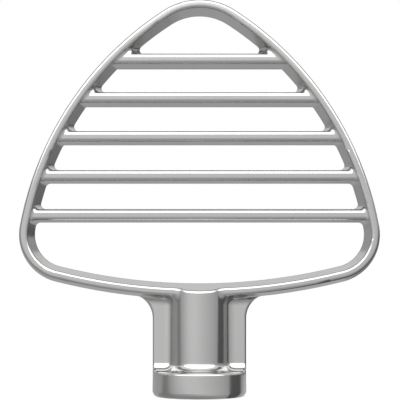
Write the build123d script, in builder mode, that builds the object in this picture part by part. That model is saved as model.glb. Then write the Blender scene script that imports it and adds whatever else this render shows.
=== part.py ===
from build123d import *
from math import atan2, cos, degrees, radians, sin, sqrt, tan
import os

os.makedirs("parts", exist_ok=True)

# The beater stands on its drive hub: the hub's end face lies at z = 0, the shaft
# axis is Z, the loop and its bars lie in the XZ plane and the front faces -Y.
# All sizes are in millimetres and degrees.

# Outer outline of the loop in the middle plane: four arcs a side, each running
# smoothly into the next one.
height = 146.5
half_width = 66.5
apex_radius = 25.0
side_radius = 120.5
corner_radius = 18.0
bottom_radius = 218.0
bottom_level = 35.1

# Section of the loop, a long wedge towards the front and the back
loop_width = 6.0
loop_half_depth = 7.2
outer_draft = 10.0
inner_draft = 16.0
tip_radius = 1.15
ridge_radius = 2.5

# Cross bars
bar_count = 5
bar_rise = 30.75
bar_headroom = 23.05
bar_thickness = 5.05
bar_step = 1.0
bar_draft = 6.0
bar_edge_radius = 1.5
bar_ridge_radius = 4.0
joint_radius = 1.8

# Hub: collar, round tube and the two flat wings beside it
collar_radius = 17.1
collar_height = 9.2
collar_edge_radius = 2.1
ledge_edge_radius = 1.0
tube_radius = 10.4
wing_thickness = 4.2
wing_fillet = 3.6
ledge_fillet = 3.4
flare_radius = 9.0
flare_sink = 0.2
web_fillet = 3.4

# Socket for the drive shaft with a bayonet slot for the shaft's cross pin
shaft_diameter = 12.7
shaft_clearance = 0.1
socket_depth = 30.0
mouth_chamfer = 0.8
pin_diameter = 4.2
pin_clearance = 0.2
slot_wall = 1.4
slot_rise = 16.5
slot_turn = 45.0
seat_drop = 2.0

# Sizes that follow from the ones above
bar_half_depth = loop_half_depth - bar_step
outer_inset = loop_half_depth * tan(radians(outer_draft))
inner_inset = loop_width - loop_half_depth * tan(radians(inner_draft))
crest_inset = (outer_inset + inner_inset) / 2
ring_stock = 1.5 * loop_width
opening_stock = 2 * loop_width
opening_reach = tube_radius + loop_half_depth / 2
tube_top = bottom_level + ring_stock
pocket_width = 3 * half_width
pocket_depth = 4 * collar_radius
socket_radius = shaft_diameter / 2 + shaft_clearance
slot_width = pin_diameter + 2 * pin_clearance
slot_reach = tube_radius - slot_wall
slot_floor = slot_rise - slot_width
lowest_bar = bottom_level + bar_rise
highest_bar = height - bar_headroom
bar_pitch = (highest_bar - lowest_bar) / (bar_count - 1)
bar_levels = [lowest_bar + index * bar_pitch for index in range(bar_count)]

# Centres of the outline's arcs, as points of the XZ plane
bottom_centre = Vector(0, bottom_level + bottom_radius)
corner_x = half_width - corner_radius
corner_drop = sqrt((bottom_radius - corner_radius) ** 2 - corner_x**2)
corner_centre = Vector(corner_x, bottom_centre.Y - corner_drop)
apex_centre = Vector(0, height - apex_radius)
from_corner = side_radius - corner_radius
from_apex = side_radius - apex_radius
span = corner_centre - apex_centre
along = (from_apex**2 - from_corner**2 + span.length**2) / (2 * span.length)
aside = sqrt(from_apex**2 - along**2)
down = span.normalized()
side_centre = apex_centre + down * along + Vector(down.Y, -down.X) * aside


def heading(start, end):
    step = end - start
    return degrees(atan2(step.Y, step.X))


bottom_end = heading(bottom_centre, corner_centre)
corner_end = heading(side_centre, corner_centre)
side_end = heading(side_centre, apex_centre)

# The hub's flare ends inside the loop, just past its underside
flare_end = collar_radius + flare_radius
underside = bottom_centre.Y - sqrt(bottom_radius**2 - flare_end**2)
flare_top = underside + wing_thickness / 2 * tan(radians(outer_draft)) + flare_sink
flare_start = flare_top - flare_radius
blank_top = bottom_level + loop_width / 2

# Right half of the outline from the bottom to the top: centre, radius, two angles
outline = [
    (bottom_centre, bottom_radius, -90, bottom_end),
    (corner_centre, corner_radius, bottom_end, corner_end),
    (side_centre, side_radius, corner_end, side_end),
    (apex_centre, apex_radius, side_end, 90),
]


def section_plane(centre, radius, angle):
    """Plane across the outline: x runs inwards from the outer edge, y to the front."""
    outwards = Vector(cos(radians(angle)), 0, sin(radians(angle)))
    edge = Vector(centre.X, 0, centre.Y) + outwards * radius
    return Plane(origin=edge, x_dir=-outwards, z_dir=(-outwards.Z, 0, outwards.X))


def arc_axis(centre):
    return Axis((centre.X, 0, centre.Y), (0, -1, 0))


# Loop with its outer faces finished and stock left on the inside
with BuildPart() as loop:
    for centre, radius, start, end in outline:
        with BuildSketch(section_plane(centre, radius, start)) as section:
            with BuildLine():
                Polyline(
                    (0, 0),
                    (outer_inset, loop_half_depth),
                    (ring_stock, loop_half_depth),
                    (ring_stock, -loop_half_depth),
                    (outer_inset, -loop_half_depth),
                    close=True,
                )
            make_face()
            levels = section.vertices().group_by(Axis.X)
            fillet(levels[1], tip_radius)
            fillet(section.vertices().group_by(Axis.X)[0], ridge_radius)
        revolve(axis=arc_axis(centre), revolution_arc=end - start)
    mirror(about=Plane.YZ)

# Space inside the loop: its faces become the loop's inner faces and the hub's top
with BuildPart() as opening:
    near = loop_width - opening_reach * tan(radians(inner_draft))
    for centre, radius, start, end in outline:
        with BuildSketch(section_plane(centre, radius, start)) as section:
            with BuildLine():
                Polyline(
                    (loop_width, 0),
                    (near, opening_reach),
                    (opening_stock, opening_reach),
                    (opening_stock, -opening_reach),
                    (near, -opening_reach),
                    close=True,
                )
            make_face()
            middle = section.vertices().filter_by(lambda v: abs(v.Y) < loop_half_depth / 2)
            fillet(middle, ridge_radius)
        revolve(axis=arc_axis(centre), revolution_arc=end - start)
    mirror(about=Plane.YZ)

# Space in front of the wings and round the tube, and the same space behind
with BuildPart() as pockets:
    with BuildSketch(Plane.XY.offset(collar_height)):
        Rectangle(pocket_width, pocket_depth)
        with BuildSketch(mode=Mode.PRIVATE) as column:
            Circle(tube_radius)
            Rectangle(2 * pocket_width, wing_thickness)
            roots = column.vertices().filter_by(lambda v: abs(v.X) < pocket_width / 2)
            fillet(roots, wing_fillet)
        add(column.sketch, mode=Mode.SUBTRACT)
    extrude(amount=height)
    floor_edges = pockets.edges().group_by(Axis.Z)[0]
    inner_edges = floor_edges.filter_by(
        lambda e: abs(e.center().X) < 0.49 * pocket_width and abs(e.center().Y) < 0.49 * pocket_depth
    )
    fillet(inner_edges, ledge_fillet)

# Hub: a round blank whose foot flares into the loop, with the pockets taken out
with BuildPart() as hub:
    with BuildSketch(Plane.XZ):
        with BuildLine():
            end_face = Line((0, 0), (collar_radius - collar_edge_radius, 0))
            rounding = RadiusArc(end_face @ 1, (collar_radius, collar_edge_radius), -collar_edge_radius)
            wall = Line(rounding @ 1, (collar_radius, flare_start))
            flare = CenterArc((flare_end, flare_start), flare_radius, 180, -90)
            Polyline(flare @ 1, (flare_end, blank_top), (0, blank_top), (0, 0))
        make_face()
    revolve(axis=Axis.Z)
    with BuildSketch(Plane.XY.offset(collar_height)):
        Circle(tube_radius)
    extrude(amount=tube_top - collar_height)
    add(pockets.part, mode=Mode.SUBTRACT)
    ledge = hub.edges().filter_by(GeomType.CIRCLE)
    ledge = ledge.filter_by_position(Axis.Z, collar_height - 0.01, collar_height + 0.01)
    fillet(ledge.filter_by(lambda e: abs(e.radius - collar_radius) < 0.01), ledge_edge_radius)

# Bars, ending under the crest of the loop
with BuildPart() as bars:
    with BuildSketch(Plane.YZ):
        with BuildSketch(mode=Mode.PRIVATE) as bar_section:
            root = bar_thickness / 2
            nose = root - bar_half_depth * tan(radians(bar_draft))
            with BuildLine():
                Polyline(
                    (0, root),
                    (bar_half_depth, nose),
                    (bar_half_depth, -nose),
                    (0, -root),
                    (-bar_half_depth, -nose),
                    (-bar_half_depth, nose),
                    close=True,
                )
            make_face()
            columns = bar_section.vertices().group_by(Axis.X)
            fillet(columns[0] + columns[-1], bar_edge_radius)
            middle = bar_section.vertices().filter_by(lambda v: abs(v.X) < bar_edge_radius / 2)
            fillet(middle, bar_ridge_radius)
        with Locations(*[(0, level) for level in bar_levels]):
            add(bar_section.sketch)
    extrude(amount=half_width, both=True)
    with BuildSketch(Plane.XZ):
        with BuildLine():
            for centre, radius, start, end in outline:
                CenterArc((centre.X, centre.Y), radius - crest_inset, start, end - start)
            mirror(about=Plane.YZ)
        make_face()
    extrude(amount=loop_half_depth, both=True, mode=Mode.INTERSECT)

with BuildPart() as pastry_beater:
    # Loop and hub, opened on the inside in one cut
    add(loop.part)
    add(hub.part)
    add(opening.part, mode=Mode.SUBTRACT)

    # Webs: tube, wings and loop run into each other
    uprights = pastry_beater.edges().filter_by(Axis.Z)
    corners = uprights.filter_by(lambda e: abs(abs(e.center().Y) - loop_half_depth) < 0.01)
    fillet(corners, web_fillet)

    # Inner edge of the crest, all round the loop and over the top of the tube
    rings = pastry_beater.edges().filter_by(GeomType.CIRCLE)
    crest_radius = side_radius - inner_inset
    fillet(rings.filter_by(lambda e: abs(e.radius - crest_radius) < 0.01), tip_radius)

    # Bars, rounded into the loop at both ends
    frame = pastry_beater.part
    add(bars.part)
    fillet(new_edges(frame, bars.part, combined=pastry_beater.part), joint_radius)

    # Blind socket with a chamfered mouth
    with BuildSketch(Plane.XY):
        Circle(socket_radius)
    extrude(amount=socket_depth, mode=Mode.SUBTRACT)
    mouths = pastry_beater.edges().filter_by(GeomType.CIRCLE).filter_by_position(Axis.Z, -0.01, 0.01)
    chamfer(mouths.filter_by(lambda e: abs(e.radius - socket_radius) < 0.01), mouth_chamfer)

    # Bayonet slot: straight entry, turn and seat
    with Locations(Location((0, 0, 0), (0, 0, -slot_turn))):
        Box(
            slot_reach,
            slot_width,
            slot_rise,
            align=(Align.MIN, Align.CENTER, Align.MIN),
            mode=Mode.SUBTRACT,
        )
    with Locations((0, 0, slot_floor - seat_drop)):
        Box(
            slot_reach,
            slot_width,
            slot_width + seat_drop,
            align=(Align.MIN, Align.CENTER, Align.MIN),
            mode=Mode.SUBTRACT,
        )
    with BuildSketch(Plane.XZ.rotated((0, 0, -slot_turn))):
        with Locations((0, slot_floor)):
            Rectangle(slot_reach, slot_width, align=(Align.MIN, Align.MIN))
    revolve(axis=Axis.Z, revolution_arc=slot_turn, mode=Mode.SUBTRACT)

pastry_beater.part.label = "pastry_beater"
export_step(pastry_beater.part, "parts/pastry_beater.step")
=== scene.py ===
import math

import bpy
from bpy.props import FloatProperty, FloatVectorProperty, PointerProperty
from bpy.types import Operator, Panel, PropertyGroup
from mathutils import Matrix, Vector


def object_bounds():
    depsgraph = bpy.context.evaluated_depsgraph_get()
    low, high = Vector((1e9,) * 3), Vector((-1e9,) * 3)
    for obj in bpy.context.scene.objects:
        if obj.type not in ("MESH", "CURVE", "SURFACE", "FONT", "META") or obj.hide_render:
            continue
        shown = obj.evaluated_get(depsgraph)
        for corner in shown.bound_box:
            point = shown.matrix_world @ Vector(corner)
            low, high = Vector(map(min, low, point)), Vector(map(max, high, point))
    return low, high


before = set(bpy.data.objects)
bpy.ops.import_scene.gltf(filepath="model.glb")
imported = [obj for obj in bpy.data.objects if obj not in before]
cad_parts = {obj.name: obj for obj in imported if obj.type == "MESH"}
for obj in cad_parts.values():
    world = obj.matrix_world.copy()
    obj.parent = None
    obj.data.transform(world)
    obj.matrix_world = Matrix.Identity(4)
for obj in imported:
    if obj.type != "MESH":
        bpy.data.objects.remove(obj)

bl_info = {
    "name": "Pastry beater",
    "version": (1, 0, 0),
    "blender": (4, 5, 0),
    "location": "View3D > Sidebar > Beater",
    "description": "Finishes a one-piece pastry beater in satin steel and sets a white studio round it",
    "category": "Object",
}

CAD_BOX = [list(corner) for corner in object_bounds()]
FLOOR_LEVEL = CAD_BOX[0][2]
# Width of the image in pixels, and of the camera's sensor in millimetres
IMAGE_WIDTH = 400
SENSOR_WIDTH = 36.0
# Points along a card's curved edge, and how far the lowest cards lie over the floor
CARD_POINTS = 129
CARD_LIFT = 0.0002
# Noise of the haze and of the polishing marks
HAZE_DETAIL = 4.0
HAZE_LOW = 0.3
HAZE_HIGH = 0.7
MARK_DETAIL = 2.0
MARK_STRENGTH = 0.5
# Blend of a floor reflection's fade from its glow seen at a low angle to the glow seen from above; a
# glow that changes with the angle is a painted reflection
SLANT_BLEND = 0.5

# Glow of the cards against white, by bearing from the camera's side towards +X in degrees; the cards
# glow for the steel alone and are painted reflections in it.
# The front floor reflection takes the front ring's levels and stops where the dark floor reflection
# starts.
FRONT_LEVELS = (
    (-104, 0.45),
    (-97, 0.27),
    (-87, 0.27),
    (-80, 0.46),
    (-64, 0.66),
    (-40, 0.85),
    (-15, 0.85),
    (20, 0.71),
    (50, 0.60),
    (79, 0.47),
    (124, 0.46),
)
BACK_RING_LEVELS = (
    (124, 0.52),
    (145, 0.43),
    (155, 0.22),
    (168, 0.19),
    (176, 0.26),
    (190, 0.28),
    (205, 0.45),
    (256, 0.42),
)
BACK_WALL_LEVELS = (
    (124, 0.78),
    (256, 0.78),
)
DARK_STRIP_LEVELS = (
    (79, 0.11),
    (122, 0.11),
    (160, 0.15),
)
# The floor reflections are glowing sheets just over the floor that only the steel sees: painted
# reflections of the floor, darker than the white floor
DARK_FLOOR_REFLECTION_LEVELS = (
    (79, 0.11),
    (122, 0.11),
)
BACK_FLOOR_REFLECTION_LEVELS = (
    (122, 0.13),
    (158, 0.14),
    (167, 0.39),
    (256, 0.38),
)
NEAR_FLOOR_REFLECTION_LEVELS = (
    (122, 0.45),
    (146, 0.66),
    (160, 0.49),
    (256, 0.48),
)
# Glow of the floor reflections where the steel sees them from straight above; the front one is painted
# shade of the floor under the beater
FRONT_BELOW = 0.34
DARK_BELOW = 0.12
BACK_BELOW = 0.57
NEAR_BELOW = 0.48
# Where the floor reflections' bearings start from, near the collar's right front
FLOOR_REFLECTION_CENTRE = (0.008, -0.0126, 0.0)


class SteelFinish(PropertyGroup):
    """Sizes and colours of the satin steel."""

    color: FloatVectorProperty(
        name="Colour",
        description="Reflection colour of the clean steel",
        subtype="COLOR",
        min=0.0,
        max=1.0,
        default=(0.6, 0.6, 0.596),
    )
    haze_color: FloatVectorProperty(
        name="Haze colour",
        description="Reflection colour where handling has left the steel a little duller",
        subtype="COLOR",
        min=0.0,
        max=1.0,
        default=(0.565, 0.565, 0.56),
    )
    roughness: FloatProperty(
        name="Roughness",
        description="Roughness of the satin polish",
        subtype="FACTOR",
        min=0.0,
        max=1.0,
        default=0.19,
    )
    roughness_spread: FloatProperty(
        name="Roughness spread",
        description="How far the roughness strays on either side",
        subtype="FACTOR",
        min=0.0,
        max=0.5,
        default=0.03,
    )
    haze_size: FloatProperty(
        name="Haze size",
        description="Width of a cloud of haze",
        unit="LENGTH",
        default=0.018,
    )
    mark_width: FloatProperty(
        name="Mark width",
        description="Width of a polishing mark",
        unit="LENGTH",
        default=0.00025,
    )
    mark_stretch: FloatProperty(
        name="Mark stretch",
        description="How many times longer than wide a polishing mark is",
        default=30.0,
    )
    mark_depth: FloatProperty(
        name="Mark depth",
        description="Depth of a polishing mark",
        unit="LENGTH",
        default=0.0000003,
    )


class StudioSetup(PropertyGroup):
    """Camera and light of the white studio."""

    camera_distance: FloatProperty(
        name="Camera distance",
        description="From the beater's middle plane to the lens",
        unit="LENGTH",
        default=0.440,
    )
    camera_height: FloatProperty(
        name="Camera height",
        description="Height of the lens over the floor",
        unit="LENGTH",
        default=0.036,
    )
    camera_side: FloatProperty(
        name="Camera side step",
        description="How far the lens stands to the right of the beater's axis",
        unit="LENGTH",
        default=0.0002,
    )
    camera_tilt: FloatProperty(
        name="Camera tilt",
        description="How far the camera looks up",
        subtype="ANGLE",
        unit="ROTATION",
        default=math.radians(4.64),
    )
    focal_pixels: FloatProperty(
        name="Focal length in pixels",
        description="Focal length in pixels of the 400 pixel wide image",
        default=1195.6,
    )
    softbox_width: FloatProperty(
        name="Softbox width",
        description="Width of the oval softbox that hangs level over the front",
        unit="LENGTH",
        default=4.8,
    )
    softbox_depth: FloatProperty(
        name="Softbox depth",
        description="Depth of the softbox from front to back",
        unit="LENGTH",
        default=2.5,
    )
    softbox_height: FloatProperty(
        name="Softbox height",
        description="Height of the softbox over the floor",
        unit="LENGTH",
        default=1.0,
    )
    softbox_forward: FloatProperty(
        name="Softbox forward",
        description="How far the softbox's centre stands in front of the beater",
        unit="LENGTH",
        default=1.61,
    )
    softbox_level: FloatProperty(
        name="Softbox level",
        description="Brightness of the softbox's face against white",
        default=1.88,
    )
    room_level: FloatProperty(
        name="Room level",
        description="Light that the white room throws on matt surfaces",
        default=0.8,
    )
    floor_color: FloatVectorProperty(
        name="Floor colour",
        description="Colour of the plain floor",
        subtype="COLOR",
        min=0.0,
        max=1.0,
        default=(0.5, 0.5, 0.5),
    )
    floor_glow: FloatProperty(
        name="Floor glow",
        description="White added to the lit floor",
        default=0.6,
    )
    floor_size: FloatProperty(
        name="Floor size",
        description="Side of the square floor",
        unit="LENGTH",
        default=12.0,
    )
    # The rings, back wall, dark strip and header are glowing cards that light nothing and show only in
    # the steel: painted reflections.
    surround_radius: FloatProperty(
        name="Surround radius",
        description="Radius of the ring of grey cards that the steel mirrors",
        unit="LENGTH",
        default=3.3,
    )
    surround_height: FloatProperty(
        name="Surround height",
        description="Height of the ring of grey cards on the camera's side",
        unit="LENGTH",
        default=1.6,
    )
    back_ring_height: FloatProperty(
        name="Back ring height",
        description="Height of the ring of grey cards behind the beater",
        unit="LENGTH",
        default=1.48,
    )
    back_wall_radius: FloatProperty(
        name="Back wall radius",
        description="Radius of the pale wall behind the back ring",
        unit="LENGTH",
        default=3.4,
    )
    back_wall_height: FloatProperty(
        name="Back wall height",
        description="Height of the pale wall behind the back ring",
        unit="LENGTH",
        default=2.6,
    )
    # The near floor reflection is a glowing sheet behind the collar, darker than the white floor:
    # painted shade of the floor near the beater as the steel mirrors it.
    near_reflection_radius: FloatProperty(
        name="Near mat radius",
        description="Radius of the pale mat behind the collar",
        unit="LENGTH",
        default=0.17,
    )
    strip_radius: FloatProperty(
        name="Dark strip radius",
        description="Distance of the low dark strip at the beater's right and back",
        unit="LENGTH",
        default=3.2,
    )
    strip_height: FloatProperty(
        name="Dark strip height",
        description="Height of the low dark strip",
        unit="LENGTH",
        default=0.45,
    )
    header_height: FloatProperty(
        name="Header height",
        description="Height of the level grey card over the beater's back",
        unit="LENGTH",
        default=0.21,
    )
    header_start: FloatProperty(
        name="Header start",
        description="How far behind the beater's middle plane the header starts",
        unit="LENGTH",
        default=0.02,
    )
    header_end: FloatProperty(
        name="Header end",
        description="How far behind the beater's middle plane the header ends",
        unit="LENGTH",
        default=0.1,
    )
    header_reach: FloatProperty(
        name="Header reach",
        description="How far the header reaches to either side of the beater's axis",
        unit="LENGTH",
        default=0.25,
    )
    header_level: FloatProperty(
        name="Header level",
        description="Brightness of the header against white",
        default=0.1,
    )


def grey(level):
    return (level, level, level, 1.0)


def link(tree, source, target):
    tree.links.new(source, target)


def new_material(name):
    material = bpy.data.materials.new(name)
    material.use_nodes = True
    material.node_tree.nodes.clear()
    return material


def new_node(tree, kind, **settings):
    node = tree.nodes.new(kind)
    for key, value in settings.items():
        setattr(node, key, value)
    return node


def white_ray_mask(tree):
    """Value that is 1 for rays that see the white studio: camera, glossy and transmission rays."""
    path = new_node(tree, "ShaderNodeLightPath")
    direct = new_node(tree, "ShaderNodeMath", operation="MAXIMUM")
    seen = new_node(tree, "ShaderNodeMath", operation="MAXIMUM")
    link(tree, path.outputs["Is Camera Ray"], direct.inputs[0])
    link(tree, path.outputs["Is Glossy Ray"], direct.inputs[1])
    link(tree, direct.outputs[0], seen.inputs[0])
    link(tree, path.outputs["Is Transmission Ray"], seen.inputs[1])
    return seen.outputs[0]


def stretched_noise_group(name):
    """Noise whose grains run along X: inputs for place, width and stretch, output from 0 to 1."""
    group = bpy.data.node_groups.new(name, "ShaderNodeTree")
    face = group.interface
    face.new_socket("Place", in_out="INPUT", socket_type="NodeSocketVector")
    face.new_socket("Grains per metre", in_out="INPUT", socket_type="NodeSocketFloat")
    face.new_socket("Stretch", in_out="INPUT", socket_type="NodeSocketFloat")
    face.new_socket("Detail", in_out="INPUT", socket_type="NodeSocketFloat")
    face.new_socket("Mask", in_out="OUTPUT", socket_type="NodeSocketFloat")
    start = new_node(group, "NodeGroupInput")
    end = new_node(group, "NodeGroupOutput")
    split = new_node(group, "ShaderNodeSeparateXYZ")
    squeeze = new_node(group, "ShaderNodeMath", operation="DIVIDE")
    join = new_node(group, "ShaderNodeCombineXYZ")
    noise = new_node(group, "ShaderNodeTexNoise")
    link(group, start.outputs["Place"], split.inputs[0])
    link(group, split.outputs["X"], squeeze.inputs[0])
    link(group, start.outputs["Stretch"], squeeze.inputs[1])
    link(group, squeeze.outputs[0], join.inputs["X"])
    link(group, split.outputs["Y"], join.inputs["Y"])
    link(group, split.outputs["Z"], join.inputs["Z"])
    link(group, join.outputs[0], noise.inputs["Vector"])
    link(group, start.outputs["Grains per metre"], noise.inputs["Scale"])
    link(group, start.outputs["Detail"], noise.inputs["Detail"])
    link(group, noise.outputs["Fac"], end.inputs["Mask"])
    return group


def satin_steel(finish):
    """Satin steel with clouds of haze and fine polishing marks."""
    material = new_material("satin_steel")
    tree = material.node_tree
    noise_group = stretched_noise_group("Stretched noise")

    place = new_node(tree, "ShaderNodeTexCoord")
    haze = new_node(tree, "ShaderNodeGroup", node_tree=noise_group, label="Haze")
    haze.inputs["Grains per metre"].default_value = 1.0 / finish.haze_size
    haze.inputs["Stretch"].default_value = 1.0
    haze.inputs["Detail"].default_value = HAZE_DETAIL
    marks = new_node(tree, "ShaderNodeGroup", node_tree=noise_group, label="Polishing marks")
    marks.inputs["Grains per metre"].default_value = 1.0 / finish.mark_width
    marks.inputs["Stretch"].default_value = finish.mark_stretch
    marks.inputs["Detail"].default_value = MARK_DETAIL

    tint = new_node(tree, "ShaderNodeMix", data_type="RGBA")
    tint.inputs["A"].default_value = (*finish.color, 1.0)
    tint.inputs["B"].default_value = (*finish.haze_color, 1.0)
    polish = new_node(tree, "ShaderNodeMapRange")
    polish.inputs["From Min"].default_value = HAZE_LOW
    polish.inputs["From Max"].default_value = HAZE_HIGH
    polish.inputs["To Min"].default_value = finish.roughness - finish.roughness_spread
    polish.inputs["To Max"].default_value = finish.roughness + finish.roughness_spread
    bump = new_node(tree, "ShaderNodeBump")
    bump.inputs["Strength"].default_value = MARK_STRENGTH
    bump.inputs["Distance"].default_value = finish.mark_depth
    shader = new_node(tree, "ShaderNodeBsdfPrincipled")
    shader.inputs["Metallic"].default_value = 1.0
    output = new_node(tree, "ShaderNodeOutputMaterial")

    link(tree, place.outputs["Object"], haze.inputs["Place"])
    link(tree, place.outputs["Object"], marks.inputs["Place"])
    link(tree, haze.outputs["Mask"], tint.inputs["Factor"])
    link(tree, haze.outputs["Mask"], polish.inputs["Value"])
    link(tree, marks.outputs["Mask"], bump.inputs["Height"])
    link(tree, tint.outputs["Result"], shader.inputs["Base Color"])
    link(tree, polish.outputs["Result"], shader.inputs["Roughness"])
    link(tree, bump.outputs["Normal"], shader.inputs["Normal"])
    link(tree, shader.outputs["BSDF"], output.inputs["Surface"])
    return material


class BEATER_OT_finish_steel(Operator):
    """Give the beater its satin steel"""

    bl_idname = "beater.finish_steel"
    bl_label = "Satin steel"

    def execute(self, context):
        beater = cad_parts["pastry_beater"]
        if not beater.material_slots:
            raise RuntimeError("The beater has no material slot")
        steel = satin_steel(context.scene.beater_steel)
        for slot in beater.material_slots:
            slot.material = steel
        return {"FINISHED"}


def white_world(studio):
    """White room for the rays that see the studio, a little dimmer as a light on matt surfaces."""
    world = bpy.data.worlds.new("white_studio")
    world.use_nodes = True
    tree = world.node_tree
    tree.nodes.clear()
    level = new_node(tree, "ShaderNodeMapRange")
    level.inputs["To Min"].default_value = studio.room_level
    level.inputs["To Max"].default_value = 1.0
    background = new_node(tree, "ShaderNodeBackground")
    output = new_node(tree, "ShaderNodeOutputWorld")
    link(tree, white_ray_mask(tree), level.inputs["Value"])
    link(tree, level.outputs["Result"], background.inputs["Strength"])
    background.inputs["Color"].default_value = grey(1.0)
    link(tree, background.outputs[0], output.inputs["Surface"])
    return world


def floor_paint(studio):
    """Pale floor that keeps shadows and is lifted to white for the rays that see the studio."""
    material = new_material("floor_paint")
    tree = material.node_tree
    paint = new_node(tree, "ShaderNodeBsdfDiffuse")
    paint.inputs["Color"].default_value = (*studio.floor_color, 1.0)
    level = new_node(tree, "ShaderNodeMath", operation="MULTIPLY")
    level.inputs[1].default_value = studio.floor_glow
    glow = new_node(tree, "ShaderNodeEmission")
    total = new_node(tree, "ShaderNodeAddShader")
    output = new_node(tree, "ShaderNodeOutputMaterial")
    link(tree, white_ray_mask(tree), level.inputs[0])
    link(tree, level.outputs[0], glow.inputs["Strength"])
    link(tree, paint.outputs[0], total.inputs[0])
    link(tree, glow.outputs[0], total.inputs[1])
    link(tree, total.outputs[0], output.inputs["Surface"])
    return material


def compass_group():
    """Share of a full turn round a card's centre, from the bearing Start on towards +X."""
    group = bpy.data.node_groups.new("Compass", "ShaderNodeTree")
    group.interface.new_socket("Start", in_out="INPUT", socket_type="NodeSocketFloat")
    group.interface.new_socket("Turn", in_out="OUTPUT", socket_type="NodeSocketFloat")
    start = new_node(group, "NodeGroupInput")
    place = new_node(group, "ShaderNodeTexCoord")
    split = new_node(group, "ShaderNodeSeparateXYZ")
    forward = new_node(group, "ShaderNodeMath", operation="MULTIPLY")
    forward.inputs[1].default_value = -1.0
    bearing = new_node(group, "ShaderNodeMath", operation="ARCTAN2")
    turned = new_node(group, "ShaderNodeMath", operation="SUBTRACT")
    share = new_node(group, "ShaderNodeMath", operation="DIVIDE")
    share.inputs[1].default_value = 2.0 * math.pi
    wrap = new_node(group, "ShaderNodeMath", operation="FRACT")
    end = new_node(group, "NodeGroupOutput")
    link(group, place.outputs["Object"], split.inputs[0])
    link(group, split.outputs["Y"], forward.inputs[0])
    link(group, split.outputs["X"], bearing.inputs[0])
    link(group, forward.outputs[0], bearing.inputs[1])
    link(group, bearing.outputs[0], turned.inputs[0])
    link(group, start.outputs["Start"], turned.inputs[1])
    link(group, turned.outputs[0], share.inputs[0])
    link(group, share.outputs[0], wrap.inputs[0])
    link(group, wrap.outputs[0], end.inputs["Turn"])
    return group


def level_ramp(tree, stops):
    """Colour ramp over the bearing, from pairs of degrees and brightness against white."""
    compass = new_node(tree, "ShaderNodeGroup", node_tree=bpy.data.node_groups["Compass"])
    compass.inputs["Start"].default_value = math.radians(stops[0][0])
    ramp = new_node(tree, "ShaderNodeValToRGB")
    elements = ramp.color_ramp.elements
    while len(elements) > 1:
        elements.remove(elements[-1])
    for index, (degrees, level) in enumerate(stops):
        place = (degrees - stops[0][0]) / 360.0
        element = elements[0] if index == 0 else elements.new(place)
        element.position = place
        element.color = grey(level)
    link(tree, compass.outputs["Turn"], ramp.inputs["Fac"])
    return ramp


def card_glow(name, stops, below=None):
    """Glow of a card, a painted reflection in the steel: brightness by bearing, fading to the level
    below seen from above.
    """
    material = new_material(name)
    material.cycles.emission_sampling = "NONE"
    tree = material.node_tree
    ramp = level_ramp(tree, stops)
    glow = new_node(tree, "ShaderNodeEmission")
    output = new_node(tree, "ShaderNodeOutputMaterial")
    if below is None:
        link(tree, ramp.outputs["Color"], glow.inputs["Color"])
    else:
        # Painted reflection: the glow goes from the level below, seen from above, to the bearing's
        # level at a low angle.
        slant = new_node(tree, "ShaderNodeLayerWeight")
        slant.inputs["Blend"].default_value = SLANT_BLEND
        fade = new_node(tree, "ShaderNodeMix", data_type="RGBA")
        fade.inputs["A"].default_value = grey(below)
        link(tree, slant.outputs["Facing"], fade.inputs["Factor"])
        link(tree, ramp.outputs["Color"], fade.inputs["B"])
        link(tree, fade.outputs["Result"], glow.inputs["Color"])
    link(tree, glow.outputs[0], output.inputs["Surface"])
    return material


def add_mesh(name, points, faces, material):
    mesh = bpy.data.meshes.new(name)
    mesh.from_pydata(points, [], faces)
    mesh.materials.append(material)
    piece = bpy.data.objects.new(name, mesh)
    bpy.context.scene.collection.objects.link(piece)
    return piece


def level_rectangle(name, reach, near, far, level, material):
    """Level card that reaches as far to either side, from the depth near to the depth far."""
    corners = [(-reach, near, level), (reach, near, level), (reach, far, level), (-reach, far, level)]
    return add_mesh(name, corners, [(0, 1, 2, 3)], material)


def seen_in_steel_only(card):
    card.visible_camera = False
    card.visible_diffuse = False
    card.visible_shadow = False
    card.visible_volume_scatter = False


def arc_points(radius, level, start, end, count):
    """Points of a level arc between two bearings in degrees."""
    turns = [math.radians(start + (end - start) * index / (count - 1)) for index in range(count)]
    return [(radius * math.sin(turn), -radius * math.cos(turn), level) for turn in turns]


def add_wall(name, radius, height, stops):
    """Upright curved glowing card from the first bearing of its stops to the last, a painted reflection
    in the steel.
    """
    low = FLOOR_LEVEL + CARD_LIFT
    start, end = stops[0][0], stops[-1][0]
    rim = arc_points(radius, low, start, end, CARD_POINTS)
    top = arc_points(radius, low + height, start, end, CARD_POINTS)
    faces = []
    for index in range(CARD_POINTS - 1):
        faces.append((index, index + 1, CARD_POINTS + index + 1, CARD_POINTS + index))
    return add_mesh(name, rim + top, faces, card_glow(name, stops))


def add_floor_reflection(name, radius, lift, stops, below):
    """Level glowing card just over the floor, a slice of a disc from the first bearing of its stops to
    the last: it paints the floor as the steel mirrors it, painted shade included.
    """
    level = FLOOR_LEVEL + lift
    rim = arc_points(radius, level, stops[0][0], stops[-1][0], CARD_POINTS)
    hub = CARD_POINTS
    faces = [(index, index + 1, hub) for index in range(CARD_POINTS - 1)]
    sheet = add_mesh(name, rim + [(0.0, 0.0, level)], faces, card_glow(name, stops, below))
    sheet.location = FLOOR_REFLECTION_CENTRE
    return sheet


def add_header(studio):
    """Level glowing card over the beater's back, a painted dark reflection in the steel."""
    level = FLOOR_LEVEL + studio.header_height
    header_glow = card_glow("header", ((-180, studio.header_level), (180, studio.header_level)))
    near, far = studio.header_start, studio.header_end
    return level_rectangle("header", studio.header_reach, near, far, level, header_glow)


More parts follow.
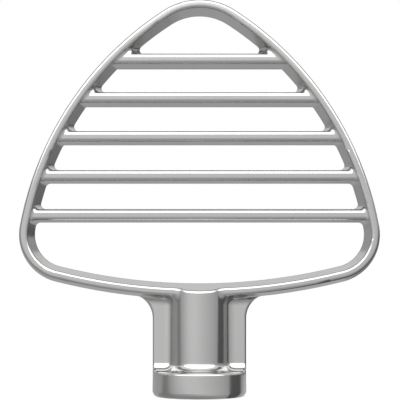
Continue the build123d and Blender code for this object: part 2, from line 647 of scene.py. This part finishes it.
def add_cards(studio):
    """Glowing cards that the steel mirrors and the camera doesn't see: painted reflections."""
    compass_group()
    radius = studio.surround_radius
    cards = [
        add_wall("front_ring", radius, studio.surround_height, FRONT_LEVELS),
        add_wall("back_ring", radius, studio.back_ring_height, BACK_RING_LEVELS),
        add_wall("back_wall", studio.back_wall_radius, studio.back_wall_height, BACK_WALL_LEVELS),
        add_wall("dark_strip", studio.strip_radius, studio.strip_height, DARK_STRIP_LEVELS),
        add_floor_reflection("front_floor_reflection", radius, CARD_LIFT, FRONT_LEVELS[:-1], FRONT_BELOW),
        add_floor_reflection("dark_floor_reflection", radius, CARD_LIFT, DARK_FLOOR_REFLECTION_LEVELS, DARK_BELOW),
        add_floor_reflection("back_floor_reflection", radius, CARD_LIFT, BACK_FLOOR_REFLECTION_LEVELS, BACK_BELOW),
        add_floor_reflection("near_floor_reflection", studio.near_reflection_radius, 2 * CARD_LIFT, NEAR_FLOOR_REFLECTION_LEVELS, NEAR_BELOW),
        add_header(studio),
    ]
    for card in cards:
        seen_in_steel_only(card)


def add_floor(studio):
    half = studio.floor_size / 2
    floor = level_rectangle("floor", half, -half, half, FLOOR_LEVEL, floor_paint(studio))


def add_softbox(studio):
    """Oval lamp whose face has the set brightness against white."""
    lamp = bpy.data.lights.new("softbox", "AREA")
    lamp.shape = "ELLIPSE"
    lamp.size = studio.softbox_width
    lamp.size_y = studio.softbox_depth
    lamp.energy = studio.softbox_level * math.pi**2 * lamp.size * lamp.size_y / 4
    softbox = bpy.data.objects.new("softbox", lamp)
    softbox.location = (0.0, -studio.softbox_forward, studio.softbox_height)
    softbox.visible_camera = False
    bpy.context.scene.collection.objects.link(softbox)


def add_camera(studio):
    scene = bpy.context.scene
    lens = bpy.data.cameras.new("camera")
    lens.sensor_width = SENSOR_WIDTH
    lens.lens = studio.focal_pixels / IMAGE_WIDTH * SENSOR_WIDTH
    camera = bpy.data.objects.new("camera", lens)
    camera.location = (studio.camera_side, -studio.camera_distance, FLOOR_LEVEL + studio.camera_height)
    camera.rotation_euler = (math.pi / 2 + studio.camera_tilt, 0.0, 0.0)
    scene.collection.objects.link(camera)
    scene.camera = camera


class BEATER_OT_set_stage(Operator):
    """Set the floor, the light and the camera"""

    bl_idname = "beater.set_stage"
    bl_label = "White studio"

    def execute(self, context):
        studio = context.scene.beater_studio
        scene = context.scene
        scene.view_settings.view_transform = "Standard"
        scene.world = white_world(studio)
        add_floor(studio)
        add_cards(studio)
        add_softbox(studio)
        add_camera(studio)
        return {"FINISHED"}


class BEATER_PT_panel(Panel):
    """Lists the beater's operators and their settings"""

    bl_idname = "BEATER_PT_panel"
    bl_label = "Pastry beater"
    bl_space_type = "VIEW_3D"
    bl_region_type = "UI"
    bl_category = "Beater"

    def draw(self, context):
        for operator, group in PANEL_ROWS:
            box = self.layout.box()
            box.operator(operator.bl_idname)
            settings = getattr(context.scene, group)
            for key in settings.bl_rna.properties.keys():
                if key not in ("name", "rna_type"):
                    box.prop(settings, key)


PANEL_ROWS = (
    (BEATER_OT_finish_steel, "beater_steel"),
    (BEATER_OT_set_stage, "beater_studio"),
)
CLASSES = (SteelFinish, StudioSetup, BEATER_OT_finish_steel, BEATER_OT_set_stage, BEATER_PT_panel)


def register():
    for item in CLASSES:
        bpy.utils.register_class(item)
    bpy.types.Scene.beater_steel = PointerProperty(type=SteelFinish)
    bpy.types.Scene.beater_studio = PointerProperty(type=StudioSetup)


def unregister():
    del bpy.types.Scene.beater_studio
    del bpy.types.Scene.beater_steel
    for item in reversed(CLASSES):
        bpy.utils.unregister_class(item)


def main():
    register()
    bpy.ops.beater.finish_steel()
    bpy.ops.beater.set_stage()


if __name__ == "__main__":
    main()
